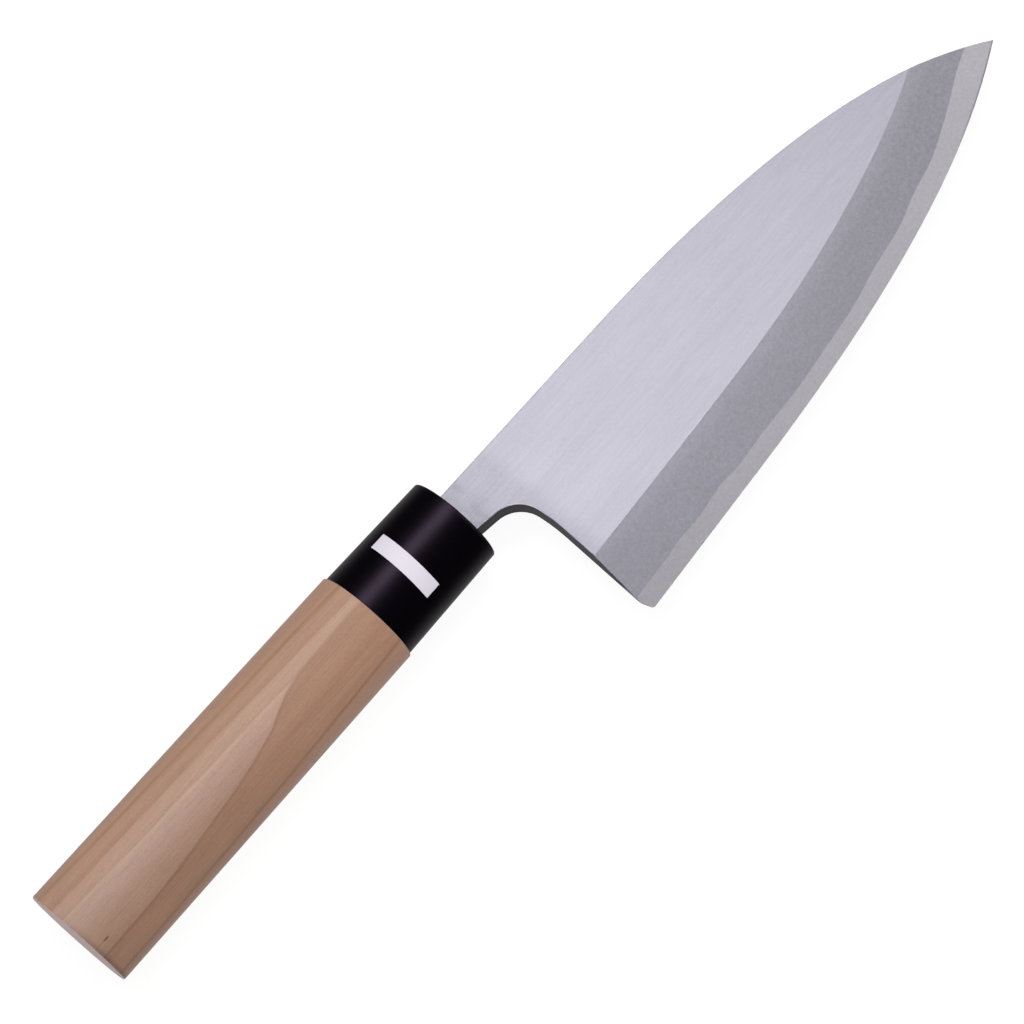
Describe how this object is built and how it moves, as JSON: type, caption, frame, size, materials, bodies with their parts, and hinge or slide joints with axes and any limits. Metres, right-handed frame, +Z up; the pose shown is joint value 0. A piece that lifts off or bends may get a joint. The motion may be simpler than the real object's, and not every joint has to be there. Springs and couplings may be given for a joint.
{
  "type": "deba knife",
  "caption": "Thick single-bevel fish knife with a laminated blade, black ferrule and oval wooden handle.",
  "frame": {"origin": "middle of the base of the whole knife, which lies flat with the bevelled face up", "axes": "+X from the handle to the tip, +Y from the edge to the spine, +Z up from the hollow back to the bevelled face"},
  "size_m": [0.3058, 0.063, 0.0259],
  "materials": {
    "cladding_steel": "brushed along the blade on the flat, matte on the bevel",
    "hard_steel": "matte ground",
    "ferrule_plastic": "satin black",
    "grip_wood": "sanded, unvarnished",
    "resin": "poured",
    "label_paper": "blank white sticker"
  },
  "bodies": {
    "root": {"blade_cladding": "cladding_steel", "edge_steel": "hard_steel", "ferrule": "ferrule_plastic", "handle_grip": "grip_wood", "tang_bedding": "resin", "neck_seal": "resin", "label": "label_paper"}
  },
  "joints": []
}
